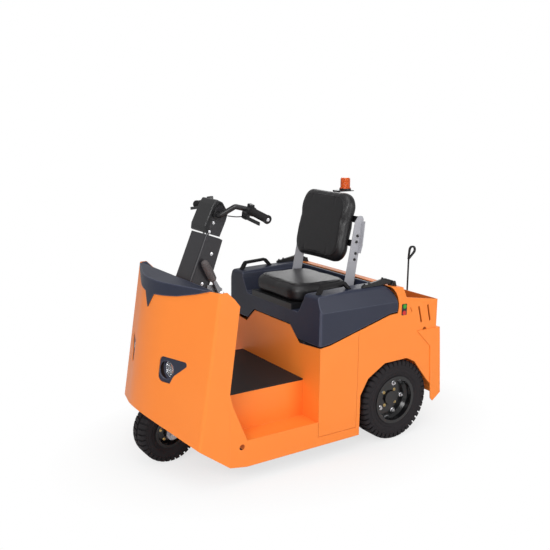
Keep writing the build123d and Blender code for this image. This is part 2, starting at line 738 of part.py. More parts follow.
# Rear body: side plates with wheel arches, wheel wells, crosswise rim and the open tub
body_arc = hood_arc_r + lid_gap
body_low_z = hood_low[-1][1] - lid_gap
with BuildPart() as rear_body:
    with BuildSketch(side(plate_x)):
        with BuildLine():
            Polyline(on_arc(body_arc, body_low_z), (-58, hood_edge_z(-58, lid_gap)),
                     (door_seam_y, hood_edge_z(door_seam_y, lid_gap)), (door_seam_y, sill_z), (-218, sill_z), *arch,
                     (body_rear_y, 237), (body_rear_y, tub_top[0][1]), *tub_top, on_arc(body_arc, rim_front_z))
            ThreePointArc(on_arc(body_arc, rim_front_z), on_arc(body_arc, hood_arc_z + 20),
                          on_arc(body_arc, body_low_z))
        make_face()
        for y0, z0, y1, z1, wide in side_slots:
            with Locations(((y0 + y1) / 2, (z0 + z1) / 2)):
                SlotOverall(hypot(y1 - y0, z1 - z0), wide, rotation=degrees(atan2(z1 - z0, y1 - y0)),
                            mode=Mode.SUBTRACT)
        add(face_of(*[(156 + 12 * cos(radians(a)), cheek[0][1] + 12 * sin(radians(a))) for a in range(0, 181, 20)]),
            mode=Mode.SUBTRACT)
    extrude(amount=sheet)
    with BuildSketch(side(0)):
        add(face_of((rim_y, rim_z(rim_y)), (tub_front_y + sheet, rim_z(tub_front_y + sheet)),
                    (tub_front_y + sheet, tub_floor_z + sheet), (body_rear_y - sheet, tub_floor_z + sheet),
                    (body_rear_y - sheet, tub_top[0][1]), (body_rear_y, tub_top[0][1]), (body_rear_y, tub_floor_z),
                    (tub_front_y, tub_floor_z), (tub_front_y, rim_z(tub_front_y) - sheet),
                    (rim_y, rim_z(rim_y) - sheet)))
    extrude(amount=plate_x)
    with BuildSketch(side(0)):
        add(face_of((tub_front_y, tub_floor_z), (tub_front_y + sheet, tub_floor_z), (tub_front_y + sheet, well_top_z),
                    (tub_front_y, well_top_z)))
    extrude(amount=well_half)
    with BuildSketch(side(well_half)):
        add(face_of((well_front - sheet, sill_z + 4), (well_front, sill_z + 4), (well_front, well_top_z - sheet),
                    (body_rear_y, well_top_z - sheet), (body_rear_y, well_top_z), (well_front - sheet, well_top_z)))
    extrude(amount=plate_x - well_half)
    with BuildSketch(side(well_half - sheet)):
        add(face_of((well_front - sheet, sill_z + 4), (-80, sill_z + 50), (80, sill_z + 50), (body_rear_y, 237),
                    (body_rear_y, tub_floor_z), (tub_front_y, tub_floor_z), (tub_front_y, well_top_z),
                    (well_front - sheet, well_top_z)))
        with Locations((0, rear_tyre_r)):
            Circle(rear_stub_r + 2, mode=Mode.SUBTRACT)
    extrude(amount=sheet)
    mirror(about=Plane.YZ)
save(rear_body, "rear_body")

with BuildPart() as bumper:
    with BuildSketch(side(half_width)):
        add(face_of(*cheek))
    extrude(amount=cheek_t)
    with BuildSketch(side(0)):
        add(face_of((body_rear_y, 508), *cheek[1:4], (262, 168), (243, 435), (body_rear_y, 494)))
    extrude(amount=half_width)
    mirror(about=Plane.YZ)
save(bumper, "bumper")


def bumper_y(z):
    """Rear face of the bumper plate at height z."""
    return cheek[2][0] + (cheek[2][1] - z) * (cheek[3][0] - cheek[2][0]) / (cheek[2][1] - cheek[3][1])


# Tow coupling: a jaw of two ears with a drop-in pin, lifted by a rod with a loop
ear_low = jaw_z - jaw_gap / 2 - jaw_ear
ear_top = jaw_z + jaw_gap / 2 + jaw_ear
with BuildPart() as tow_coupling:
    with BuildSketch(level(ear_low)):
        add(hull_of((0, pin_y, jaw_r), (-55, 285, 10), (55, 285, 10)))
    extrude(amount=ear_top - ear_low)
    with BuildSketch(side(-60)):
        add(face_of((310, jaw_z - jaw_gap / 2), (500, jaw_z - jaw_gap / 2), (500, jaw_z + jaw_gap / 2),
                    (310, jaw_z + jaw_gap / 2)))
    extrude(amount=120, mode=Mode.SUBTRACT)
    with BuildSketch(side(-95)):
        add(face_of((bumper_y(420), 420), (bumper_y(270), 270), (290, 270), (290, 420)))
    extrude(amount=190)
    with BuildSketch(level(ear_low, pin_y)):
        Circle(pin_r + pin_clear)
    extrude(amount=ear_top - ear_low, mode=Mode.SUBTRACT)
save(tow_coupling, "tow_coupling")
with BuildPart() as tow_pin:
    for low, radius, length in ((ear_low - pin_tip, pin_r, ear_top - ear_low + pin_tip + seam),
                                (ear_top + seam, pin_r + 7, 12), (ear_top + 12, rod_r, 372)):
        with BuildSketch(level(low, pin_y)):
            Circle(radius)
        extrude(amount=length)
    with BuildSketch(side(-rod_r, pin_y)):
        add(hull_of((22, 802, 22.5), (0, 758, rod_r)))
        add(hull_of((22, 802, 13.5), (6, 772, 3)), mode=Mode.SUBTRACT)
    extrude(amount=2 * rod_r)
save(tow_pin, "tow_pin")


def hood_side(inner):
    """Side view of the hood, moved inward by inner, which leaves its lower edge open."""
    drop = 60 if inner else 0
    radius = hood_arc_r - inner
    reach = hypot(hood_arc_y - hood_front, hood_arc_z - hood_nose_z)
    end = radians(180) - atan2(hood_nose_z - hood_arc_z, hood_arc_y - hood_front) - acos(hood_arc_r / reach)
    low = on_arc(hood_arc_r, hood_low[-1][1])[0] - inner
    low_z = hood_arc_z - sqrt(radius ** 2 - (low - hood_arc_y) ** 2)
    corner = [(low, hood_low[3][1] - drop)] if inner else []
    with BuildSketch() as view:
        with BuildLine():
            Polyline((hood_arc_y + radius * cos(end), hood_arc_z + radius * sin(end)),
                     (hood_front + inner, hood_nose_z - inner), (hood_front + inner, hood_low[0][1] - drop),
                     (hood_low[1][0], hood_low[1][1] - drop), (hood_low[2][0], hood_low[2][1] - drop),
                     *corner, (low, low_z))
            ThreePointArc((low, low_z),
                          (hood_arc_y + radius * cos(end / 2), hood_arc_z + radius * sin(end / 2)),
                          (hood_arc_y + radius * cos(end), hood_arc_z + radius * sin(end)))
        make_face()
        fillet([v for v in view.vertices() if abs(v.Y - hood_nose_z + inner) < 0.5], 16 - inner)
    return view.sketch


def hood_section(inner):
    """Cross section of the hood with its leaning upper sides, moved inward by inner."""
    brow_x = half_width - hood_brow_in
    corners = [(half_width - inner, 400, 0), (half_width - inner, hood_fold_z, 0), (brow_x - inner, hood_brow_z - inner, 20),
               (hood_flat, hood_crown_z - inner, 0)]
    return soft_face(*corners, *[(-x, z, r) for x, z, r in reversed(corners)])


def recess_section(out):
    """Cross section of the seat recess, moved outward by out."""
    right = [(recess_half - 12 + out, recess_z - out), (recess_half + out, recess_z + 9 - out)]
    right += [(recess_half + x + out, z) for x, z in recess_wall[1:]]
    return face_of(*right, (right[-1][0], 800), (-right[-1][0], 800), *[(-x, z) for x, z in reversed(right)])


# Seat hood: a moulded shell with a seat recess between two consoles, open below
with BuildPart() as hood_core:
    with BuildSketch(side(-half_width)):
        add(hood_side(hood_t))
    extrude(amount=2 * half_width)
    with BuildSketch(across(50)):
        add(hood_section(hood_t))
    extrude(amount=550, mode=Mode.INTERSECT)
    with BuildSketch(across(recess_rear + hood_t)):
        add(recess_section(hood_t))
    extrude(amount=500, mode=Mode.SUBTRACT)
with BuildPart() as seat_hood:
    with BuildSketch(side(-half_width)):
        add(hood_side(0))
    extrude(amount=2 * half_width)
    with BuildSketch(across(50)):
        add(hood_section(0))
    extrude(amount=550, mode=Mode.INTERSECT)
    fillet(seat_hood.edges().filter_by(Axis.Z).group_by(Axis.Y)[0], 14)
    add(hood_core.part, mode=Mode.SUBTRACT)
    with BuildSketch(across(recess_rear)):
        add(recess_section(0))
    extrude(amount=500, mode=Mode.SUBTRACT)
    with BuildSketch(across(hood_front + 30)):
        add(face_of((-mouth_wide, 440), (-mouth_wide, mouth_low), (-mouth_narrow, mouth_high),
                    (mouth_narrow, mouth_high), (mouth_wide, mouth_low), (mouth_wide, 440)))
        add(face_of((mouth_wide, 440), (mouth_wide, mouth_low), (half_width - 2, hood_low[0][1]),
                    (half_width + 20, hood_low[0][1] + 2), (half_width + 20, 440)))
        mirror(about=Plane.YZ)
    extrude(amount=40, mode=Mode.SUBTRACT)
save(seat_hood, "seat_hood")

# Gooseneck hinges: arms on the hood reach over the gap to pivots on the rear body's rim
with BuildPart() as hood_hinge_arms:
    with BuildSketch(side(arm_x - arm_t / 2)):
        add(hull_of((-186, 739, 9), (-67, 762, 6), (hinge_y, hinge_z, hinge_eye)))
        add(face_of((-200, 700), (-200, arm_foot_z), (-82, arm_foot_z), (-60, arm_foot_z + 3), (-36, arm_foot_z + 1),
                    (-36, 700)), mode=Mode.SUBTRACT)
        with Locations((hinge_y, hinge_z)):
            Circle(hinge_pin_r + 0.1, mode=Mode.SUBTRACT)
    extrude(amount=arm_t)
    mirror(about=Plane.YZ)
save(hood_hinge_arms, "hood_hinge_arms")
with BuildPart() as hood_hinge_brackets:
    for x in (arm_x - arm_t / 2 - 7, arm_x + arm_t / 2 + 2):
        with BuildSketch(side(x)):
            add(face_of((hinge_y - 16, rim_z(hinge_y - 16) + seam), (hinge_y + 16, rim_z(hinge_y + 16) + seam),
                        (hinge_y + 8, hinge_z + 7), (hinge_y - 8, hinge_z + 7)))
        extrude(amount=5)
    with BuildSketch(side(arm_x - arm_t / 2 - 7)):
        with Locations((hinge_y, hinge_z)):
            Circle(hinge_pin_r)
    extrude(amount=arm_t + 14)
    mirror(about=Plane.YZ)
save(hood_hinge_brackets, "hood_hinge_brackets")


def hood_top_z(y):
    """Height of the hood's top line at y, in front of its rounded rear."""
    return hood_nose_z + (y - hood_front) * (hood_arc_z + hood_arc_r - hood_nose_z) / (hood_arc_y - hood_front)


# Arched hand holds on the consoles
with BuildPart() as console_handles:
    with BuildSketch(side(handle_x - handle_w / 2)):
        add(soft_face((-425, hood_top_z(-425) + seam, 0), (-400, 767, 14), (-280, 774, 14),
                      (-245, hood_top_z(-245) + seam, 0), (-262, hood_top_z(-262) + seam, 0), (-288, 762, 8),
                      (-392, 755, 8), (-408, hood_top_z(-408) + seam, 0)))
    extrude(amount=handle_w)
    mirror(about=Plane.YZ)
save(console_handles, "console_handles")

# Seat: cushion on a pan in the recess, backrest between two slotted side bars, beacon on a bent plate behind it
back_plane = Plane(origin=(0, axle_y + back_y, back_z), x_dir=(1, 0, 0),
                   z_dir=(0, -cos(radians(back_lean)), sin(radians(back_lean))))
with BuildPart() as seat_frame:
    with BuildSketch(level(recess_z, -300)):
        Rectangle(330, 300)
    extrude(amount=pan_t)
    with BuildSketch(back_plane):
        with Locations((0, 110), (0, 220)):
            Rectangle(2 * strap_x - strap_t, 30)
        with Locations((0, (110 + post_top) / 2)):
            Rectangle(50, post_top - 110)
    extrude(amount=-frame_t)
    with BuildSketch(level(beacon_plate_z, beacon_y)):
        with Locations((0, (29 - beacon_plate_l) / 2 + 0.5)):
            Rectangle(60, beacon_plate_l + 29)
    extrude(amount=frame_t - 1)
save(seat_frame, "seat_frame")
with BuildPart() as seat_cushion:
    with BuildSketch(level(recess_z + pan_t + seam, cushion_front + cushion_l / 2)):
        RectangleRounded(2 * cushion_half, cushion_l, cushion_corner)
    extrude(amount=cushion_t)
    fillet(seat_cushion.faces().sort_by(Axis.Z)[-1].edges(), 24)
    fillet(seat_cushion.faces().sort_by(Axis.Z)[0].edges(), 16)
save(seat_cushion, "seat_cushion")
with BuildPart() as backrest:
    with BuildSketch(back_plane.offset(seam)):
        with Locations((0, back_l / 2)):
            RectangleRounded(2 * back_half, back_l, back_corner)
    extrude(amount=back_t)
    fillet(backrest.faces().sort_by(Axis.Y)[0].edges(), 20)
save(backrest, "backrest")
with BuildPart() as seat_side_bars:
    with BuildSketch(side(strap_x - strap_t / 2)):
        add(soft_face((-207, recess_z + seam, 0), (-136, 1010, 12), (-118, 1034, 12), (-96, 1034, 14), (-88, 1018, 8),
                      (-102, 900, 0), (-112, 866, 0), (-129, 758, 0), (-150, recess_z + seam, 0)))
        for y, z in ((-124.5, 930.5), (-133, 851)):
            for reach in (-14, 14):
                with Locations((y + reach * sin(radians(back_lean)), z + reach * cos(radians(back_lean)))):
                    SlotOverall(18, 8, rotation=90 - back_lean, mode=Mode.SUBTRACT)
    extrude(amount=strap_t)
    with BuildSketch(side(strap_x + strap_t / 2)):
        add(face_of((-117, 866), (-107, 900), (-95, 1010), (-91, 1009), (-103, 899), (-113, 865)))
    extrude(amount=16)
    mirror(about=Plane.YZ)
save(seat_side_bars, "seat_side_bars")
with BuildPart() as beacon_base:
    with BuildSketch(level(beacon_plate_z + frame_t - 1, beacon_y)):
        Circle(beacon_r + 5)
    extrude(amount=beacon_z - beacon_plate_z - frame_t + 1)
save(beacon_base, "beacon_base")
with BuildPart() as beacon:
    with BuildSketch(level(beacon_z, beacon_y)):
        Circle(beacon_r + 3)
    extrude(amount=5)
    with BuildSketch(level(beacon_z + 5, beacon_y)):
        Circle(beacon_r)
    extrude(amount=beacon_h - 5)
    fillet(beacon.edges().sort_by(Axis.Z)[-1], 9)
save(beacon, "beacon")

# Two round push buttons on a dark backing plate on the left side
with BuildPart() as side_buttons:
    with BuildSketch(side(half_width)):
        with Locations((23, 620)):
            RectangleRounded(30, 52, 4)
    extrude(amount=1.5)
    for y, z in ((24, 635), (22, 605)):
        with BuildSketch(side(half_width)):
            with Locations((y, z)):
                Circle(10)
        extrude(amount=cheek_t)
save(side_buttons, "side_buttons")
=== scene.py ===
import json
import math
import bmesh
import bpy
from mathutils import Matrix, Vector
from mathutils.bvhtree import BVHTree


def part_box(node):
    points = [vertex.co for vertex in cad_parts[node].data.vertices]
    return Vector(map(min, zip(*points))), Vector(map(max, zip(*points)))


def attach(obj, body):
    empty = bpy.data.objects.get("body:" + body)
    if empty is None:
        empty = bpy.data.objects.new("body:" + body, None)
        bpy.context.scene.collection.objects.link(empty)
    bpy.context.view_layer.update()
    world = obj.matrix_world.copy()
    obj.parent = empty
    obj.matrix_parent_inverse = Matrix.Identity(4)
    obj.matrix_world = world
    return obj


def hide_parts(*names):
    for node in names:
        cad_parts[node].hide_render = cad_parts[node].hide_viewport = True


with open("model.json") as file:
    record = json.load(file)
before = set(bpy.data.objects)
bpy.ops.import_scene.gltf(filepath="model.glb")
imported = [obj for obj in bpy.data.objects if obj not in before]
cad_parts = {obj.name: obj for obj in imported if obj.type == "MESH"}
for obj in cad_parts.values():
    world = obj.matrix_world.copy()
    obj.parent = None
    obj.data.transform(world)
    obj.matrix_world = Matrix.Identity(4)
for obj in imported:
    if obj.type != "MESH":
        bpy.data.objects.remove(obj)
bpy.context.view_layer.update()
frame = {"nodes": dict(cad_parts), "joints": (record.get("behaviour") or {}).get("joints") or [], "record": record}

print("frame loaded:", len(frame["nodes"]), "nodes")

# places and angles that several groups share, in metres and radians
hands = (1, -1)  # left, right
jointAt = {row["name"]: tuple(row["pos_m"]) for row in frame["joints"] if "pos_m" in row}
rearAxle = jointAt["rear_wheel_left_spin"]
frontAxle = jointAt["front_wheel_spin"]
hoodPivot = jointAt["hood_hinge"]
backLean = math.radians(11.5)  # backrest and its side bars

# camera and light
camera = {"azimuth": 56.68, "elevation": 11.77, "roll": 0.61, "lens": 49.82, "sensor": 36, "reach": 60,
          "place": (2.849, -1.9595, 1.469)}
lamps = {  # name: (place, aims at, side in metres, watts)
    "keySoftbox": ((3.4, -4.2, 3.4), (0, 0, 0.5), 2.6, 165),
    "fillSoftbox": ((4.6, 1.6, 2.0), (0, 0, 0.5), 2.4, 70),
    "topSoftbox": ((0.9, -0.9, 4.6), (0, 0, 0.4), 3.0, 60),
    "rearSoftbox": ((-3.6, 3.6, 2.6), (0, 0, 0.6), 2.4, 34),
}


def makeCamera(spec):
    azimuth, elevation, roll = (math.radians(spec[angle]) for angle in ("azimuth", "elevation", "roll"))
    level = math.cos(elevation)
    back = Vector((math.sin(azimuth) * level, -math.cos(azimuth) * level, math.sin(elevation)))
    right = Vector((math.cos(azimuth), math.sin(azimuth), 0))
    up = back.cross(right)
    rolledRight = right * math.cos(roll) + up * math.sin(roll)
    rolledUp = up * math.cos(roll) - right * math.sin(roll)
    data = bpy.data.cameras.new("camera")
    data.lens, data.sensor_width, data.clip_end = spec["lens"], spec["sensor"], spec["reach"]
    eye = bpy.data.objects.new("camera", data)
    bpy.context.collection.objects.link(eye)
    pose = Matrix((rolledRight, rolledUp, back)).transposed().to_4x4()
    pose.translation = Vector(spec["place"])
    eye.matrix_world = pose
    bpy.context.scene.camera = eye


def makeLamp(name, place, aim, wide, watts):
    data = bpy.data.lights.new(name, "AREA")
    data.size, data.energy = wide, watts
    lamp = bpy.data.objects.new(name, data)
    bpy.context.collection.objects.link(lamp)
    lamp.location = place
    lamp.rotation_euler = (Vector(place) - Vector(aim)).to_track_quat("Z", "Y").to_euler()


makeCamera(camera)
for name, (place, aim, wide, watts) in lamps.items():
    makeLamp(name, place, aim, wide, watts)
bpy.context.scene.view_settings.view_transform = "Standard"


# shader helper: a socket that takes part in sums
class Flow:
    def __init__(self, nodes, socket):
        self.nodes, self.socket = nodes, socket

    def maths(self, operation, first, second=0.0):
        return self.nodes.node("Math", {"operation": operation}, sockets={0: first, 1: second})

    def __add__(self, other):
        return self.maths("ADD", self, other)

    def __radd__(self, other):
        return self.maths("ADD", other, self)

    def __sub__(self, other):
        return self.maths("SUBTRACT", self, other)

    def __rsub__(self, other):
        return self.maths("SUBTRACT", other, self)

    def __mul__(self, other):
        return self.maths("MULTIPLY", self, other)

    def __rmul__(self, other):
        return self.maths("MULTIPLY", other, self)

    def __lt__(self, other):
        return self.maths("LESS_THAN", self, other)

    def __gt__(self, other):
        return self.maths("GREATER_THAN", self, other)

    def atLeast(self, limit):
        return self.maths("MAXIMUM", self, limit)

    def atMost(self, limit):
        return self.maths("MINIMUM", self, limit)

    def sine(self):
        return self.maths("SINE", self)

    def root(self):
        return self.maths("SQRT", self)


# shader helper: a node tree, where one method adds any node and fills its sockets by name or number
class Nodes:
    def __init__(self, tree):
        self.tree = tree

    def feed(self, node, values):
        for name, value in values.items():
            socket = node.inputs[name.replace("_", " ") if isinstance(name, str) else name]
            if isinstance(value, Flow):
                self.tree.links.new(value.socket, socket)
            elif isinstance(value, tuple) and len(value) < len(socket.default_value):
                socket.default_value = (*value, 1)  # a colour that leaves its alpha out
            else:
                socket.default_value = value

    def node(self, kind, settings=None, out=0, sockets=None, **named):
        step = self.tree.nodes.new("ShaderNode" + kind)
        for name, value in (settings or {}).items():
            setattr(step, name, value)
        self.feed(step, {**(sockets or {}), **named})
        return Flow(self, step.outputs[out])


# shader helper: a material with the patterns that the finishes share
class Finish(Nodes):
    def __init__(self, name, **values):
        self.material = bpy.data.materials.new(name)
        self.material.use_nodes = True
        super().__init__(self.material.node_tree)
        self.shader = self.tree.nodes["Principled BSDF"]
        self.feed(self.shader, values)

    def place(self):
        return self.node("TexCoord", out="Object")

    def axis(self, index):
        return self.node("SeparateXYZ", out=index, Vector=self.place())

    def noise(self, scale, detail=2.0, rough=0.5):
        return self.node("TexNoise", Vector=self.place(), Scale=scale, Detail=detail, Roughness=rough)

    # the colour sockets go by number, because all kinds of socket on this node share their names
    def mix(self, factor, first, second):
        return self.node("Mix", {"data_type": "RGBA"}, out=2, sockets={0: factor, 6: first, 7: second})

    def bump(self, height, strength, distance, over=None):
        under = {"Normal": over} if over else {}
        return self.node("Bump", Height=height, Strength=strength, Distance=distance, **under)

    # normal that rounds the edges over, and a mask that is 1 along them, which the finishes use to paint a
    # highlight along the edges
    def edge(self, radius, gain=12):
        rounded = self.node("Bevel", {"samples": 4}, Radius=radius)
        flat = self.node("NewGeometry", out="Normal")
        alike = self.node("VectorMath", {"operation": "DOT_PRODUCT"}, out="Value",
                          sockets={0: rounded, 1: flat})
        return rounded, ((1 - alike) * gain).atLeast(0.0).atMost(1.0)

    # 1 inside a box of the object's own places
    def within(self, low, high):
        mask = None
        for index in range(3):
            place = self.axis(index)
            both = (place > low[index]) * (place < high[index])
            mask = both if mask is None else mask * both
        return mask

    def dressed(self, **values):
        self.feed(self.shader, values)
        return self.material


def lighter(colour, gain, lift):
    return tuple(min(1.0, part * gain + lift) for part in colour)


def around(middle, noise, spread):
    return middle + noise * spread - spread / 2


# ripples of a pitch in metres
def ripples(along, pitch):
    return (along * (2 * math.pi / pitch)).sine()


# finishes
def paintedSteel(name, colour, shade, roughness, coat, peel, gloss=0.35, rim=0.25, paintedShadeBox=None):
    finish = Finish(name, Metallic=0.0, Coat_Weight=coat, Coat_Roughness=0.15, Specular_IOR_Level=gloss)
    cloud = finish.noise(scale=3.5, detail=3)
    grain = finish.noise(scale=420, detail=2)
    dust = finish.noise(scale=34, detail=5, rough=0.62)
    rounded, edge = finish.edge(radius=0.0022)
    # painted highlight: the colour turns lighter along the edges, by the share rim
    edgeHighlight = lighter(colour, gain=1.15, lift=0.05)
    base = finish.mix(edge * rim, finish.mix(cloud * 0.9, colour, shade), edgeHighlight)
    # painted shade: inside the given box of the object's own places, the colour turns towards a darker one
    if paintedShadeBox:
        mask = finish.within(paintedShadeBox["from"], paintedShadeBox["to"])
        base = finish.mix(mask * paintedShadeBox["share"], base, paintedShadeBox["colour"])
    return finish.dressed(Base_Color=base, Roughness=around(roughness, dust, spread=0.09),
                          Normal=finish.bump(grain, strength=peel, distance=0.0006, over=rounded))


def mouldedPlastic(name, colour, shade, roughness, grainSize, depth, gloss=0.4, rim=0.6):
    finish = Finish(name, Specular_IOR_Level=gloss)
    cloud = finish.noise(scale=5, detail=4)
    grain = finish.noise(scale=grainSize, detail=3, rough=0.6)
    rounded, edge = finish.edge(radius=0.0065)
    # painted highlight: the colour turns lighter along the edges, by the share rim
    edgeHighlight = lighter(colour, gain=2.4, lift=0.06)
    base = finish.mix(edge * rim, finish.mix(cloud, colour, shade), edgeHighlight)
    return finish.dressed(Base_Color=base, Roughness=around(roughness, cloud, spread=0.1),
                          Normal=finish.bump(grain, strength=depth, distance=0.0008, over=rounded))


def metalFinish(name, colour, shade, roughness, scratches):
    finish = Finish(name, Metallic=1.0)
    cloud = finish.noise(scale=22, detail=4)
    fine = finish.noise(scale=scratches, detail=2)
    return finish.dressed(Base_Color=finish.mix(cloud, colour, shade),
                          Roughness=around(roughness, fine, spread=0.12),
                          Normal=finish.bump(fine, strength=0.15, distance=0.0004))


def rubberFinish(name, colour, shade, roughness, grainSize, gloss=0.2):
    finish = Finish(name, Specular_IOR_Level=gloss)
    cloud = finish.noise(scale=9, detail=5, rough=0.6)
    grain = finish.noise(scale=grainSize, detail=3)
    return finish.dressed(Base_Color=finish.mix(cloud, colour, shade),
                          Roughness=around(roughness, cloud, spread=0.12),
                          Normal=finish.bump(grain, strength=0.35, distance=0.0008))


def seatVinyl(name):
    finish = Finish(name, Specular_IOR_Level=0.5)
    cells = finish.node("TexVoronoi", {"feature": "DISTANCE_TO_EDGE"}, Vector=finish.place(), Scale=330)
    creases = finish.noise(scale=26, detail=5, rough=0.6)
    pores = (cells * 9).atMost(1.0)
    cloud = finish.noise(scale=6, detail=3)
    return finish.dressed(Base_Color=finish.mix(cloud, (0.006, 0.0055, 0.0065), (0.010, 0.009, 0.0105)),
                          Roughness=0.36 - pores * 0.08 + cloud * 0.08,
                          Normal=finish.bump(pores * 0.4 + creases * 1.6, strength=0.5, distance=0.0007))


# glass with upright flutes and faint level bands
def lampLens(name):
    finish = Finish(name, Roughness=0.04, Transmission_Weight=1.0, IOR=1.45)
    flutes = ripples(finish.axis(0), pitch=0.0065)
    bands = ripples(finish.axis(2), pitch=0.021)
    return finish.dressed(Base_Color=finish.mix(flutes * 0.2 + 0.3, (0.96, 0.97, 0.98), (0.86, 0.9, 0.93)),
                          Normal=finish.bump(flutes * 0.6 + bands * 0.4, strength=0.55, distance=0.0012))


def beaconAmber(name):
    finish = Finish(name, Roughness=0.18, Transmission_Weight=0.35, IOR=1.46, Coat_Weight=0.4)
    rings = ripples(finish.axis(2), pitch=0.0055)
    cloud = finish.noise(scale=30, detail=3)
    glow = finish.mix(cloud * 0.6 + rings * 0.2, (1.0, 0.17, 0.01), (0.85, 0.08, 0.004))
    return finish.dressed(Base_Color=glow, Normal=finish.bump(rings, strength=0.8, distance=0.0012))


# green button over a red one on a dark plate, told apart by height and distance from the plate
def buttonPair(name, plateFace=0.3816, between=0.62):
    finish = Finish(name, Roughness=0.28, Specular_IOR_Level=0.5)
    proud = finish.axis(0) > plateFace
    upper = finish.axis(2) > between
    colour = finish.mix(upper, (0.62, 0.02, 0.015), (0.03, 0.32, 0.02))
    grain = finish.noise(scale=500, detail=2)
    return finish.dressed(Base_Color=finish.mix(proud, (0.012, 0.012, 0.013), colour),
                          Roughness=0.3 + grain * 0.08,
                          Normal=finish.bump(grain, strength=0.1, distance=0.0003))


# rubber matting with rows of raised round studs
def studMat(name, studSize=0.36):
    finish = Finish(name, Specular_IOR_Level=0.2)
    spots = finish.node("TexVoronoi", {"feature": "F1"}, Vector=finish.place(), Scale=48, Randomness=0.0)
    stud = spots < studSize
    grain = finish.noise(scale=600, detail=3)
    rubber = finish.mix(stud * 0.6 + grain * 0.2, (0.016, 0.015, 0.016), (0.03, 0.028, 0.029))
    return finish.dressed(Base_Color=rubber, Roughness=0.55 - stud * 0.1,
                          Normal=finish.bump(stud * 0.8 + grain * 0.2, strength=0.6, distance=0.0015))


# painted shade inside the tub, and painted shade below the deck, where the colour turns near black
tubPaintedShade = {"from": (-0.3755, 0.353, 0.503), "to": (0.3755, 0.5745, 0.80), "share": 0.55,
             "colour": (0.30, 0.075, 0.02)}
deckPaintedShade = {"from": (-0.3755, -0.70, 0.0), "to": (0.3755, 0.70, 0.128), "share": 0.95,
             "colour": (0.012, 0.011, 0.011)}
bodyPaint = {"colour": (0.96, 0.262, 0.038), "shade": (0.91, 0.23, 0.03), "roughness": 0.45, "coat": 0.1,
             "peel": 0.1, "gloss": 0.3}
finishes = {  # slot: finish from its name, two colours that cloud into each other, and its surface
    "body_orange": paintedSteel("bodyOrange", **bodyPaint),
    # rim sets how strongly the edges are lightened as a painted highlight
    "cover_slate": mouldedPlastic("coverSlate", (0.021, 0.0255, 0.048), (0.016, 0.0195, 0.038),
                                  roughness=0.42, grainSize=900, depth=0.3, gloss=0.4, rim=0.9),
    "column_grey": paintedSteel("columnGrey", (0.024, 0.0225, 0.0265), (0.018, 0.017, 0.02),
                                roughness=0.36, coat=0.15, peel=0.3),
    "head_black": mouldedPlastic("headBlack", (0.008, 0.008, 0.009), (0.006, 0.006, 0.007),
                                 roughness=0.2, grainSize=600, depth=0.05, gloss=0.5),
    "black_rubber": rubberFinish("blackRubber", (0.012, 0.0115, 0.012), (0.018, 0.017, 0.018),
                                 roughness=0.7, grainSize=700),
    "tyre_black": rubberFinish("tyreBlack", (0.014, 0.012, 0.014), (0.022, 0.019, 0.021),
                               roughness=0.72, grainSize=500),
    "rim_black": paintedSteel("rimBlack", (0.0035, 0.0035, 0.004), (0.005, 0.005, 0.006),
                              roughness=0.2, coat=0.5, peel=0.1, rim=0.1),
    "seat_black": seatVinyl("seatVinyl"),
    "steel_grey": paintedSteel("steelGrey", (0.42, 0.42, 0.45), (0.34, 0.34, 0.37),
                               roughness=0.42, coat=0.1, peel=0.3),
    "bright_steel": metalFinish("brightSteel", (0.62, 0.62, 0.62), (0.48, 0.48, 0.49),
                                roughness=0.3, scratches=300),
    "black_steel": paintedSteel("blackSteel", (0.009, 0.009, 0.01), (0.014, 0.014, 0.015),
                                roughness=0.35, coat=0.2, peel=0.2),
    "lamp_chrome": metalFinish("lampChrome", (0.88, 0.88, 0.9), (0.8, 0.8, 0.82),
                               roughness=0.1, scratches=200),
    "lens_clear": lampLens("lampLens"),
    "cable_black": rubberFinish("cableSheath", (0.01, 0.01, 0.01), (0.014, 0.014, 0.014),
                                roughness=0.45, grainSize=900),
    "beacon_amber": beaconAmber("beaconAmber"),
    "battery_grey": mouldedPlastic("batteryGrey", (0.05, 0.05, 0.055), (0.04, 0.04, 0.044),
                                   roughness=0.6, grainSize=500, depth=0.3),
    "cast_grey": mouldedPlastic("castGrey", (0.03, 0.03, 0.033), (0.042, 0.04, 0.04),
                                roughness=0.6, grainSize=260, depth=0.7),
    "button_green": buttonPair("buttonPair"),
    "brass": metalFinish("zincYellow", (0.72, 0.56, 0.26), (0.6, 0.45, 0.2), roughness=0.3, scratches=300),
    "zinc": metalFinish("zincBright", (0.78, 0.78, 0.8), (0.6, 0.6, 0.62), roughness=0.25, scratches=300),
}
ownFinish = {  # nodes that differ from the rest of their slot
    "floor_mat": studMat("studMat"),
    # painted shade inside the tub
    "rear_body": paintedSteel("bodyOrangeTub", **bodyPaint, paintedShadeBox=tubPaintedShade),
    # painted shade under the deck, near black
    "platform": paintedSteel("bodyOrangeDeck", **bodyPaint, paintedShadeBox=deckPaintedShade),
    "parking_brake_lever": metalFinish("brakeBlade", (0.30, 0.30, 0.31), (0.2, 0.2, 0.21),
                                       roughness=0.38, scratches=300),
}

slotNames = {row["slot"] for row in frame["record"]["materials"]}
slotOf = {row["node"]: row["material_slot"] for row in frame["record"]["subparts"]}
for name, node in frame["nodes"].items():
    node.data.materials.clear()
    node.data.materials.append(ownFinish.get(name) or finishes[slotOf[name]])
print("finishes ready")


# makers that the pieces below share
def finishPiece(mesh, name, body, slot, smooth=40.0, hides=(), finish=None):
    bmesh.ops.recalc_face_normals(mesh, faces=mesh.faces)
    shape = bpy.data.meshes.new(name)
    mesh.to_mesh(shape)
    mesh.free()
    return keepPiece(shape, name, body, slot, smooth, hides, finish)


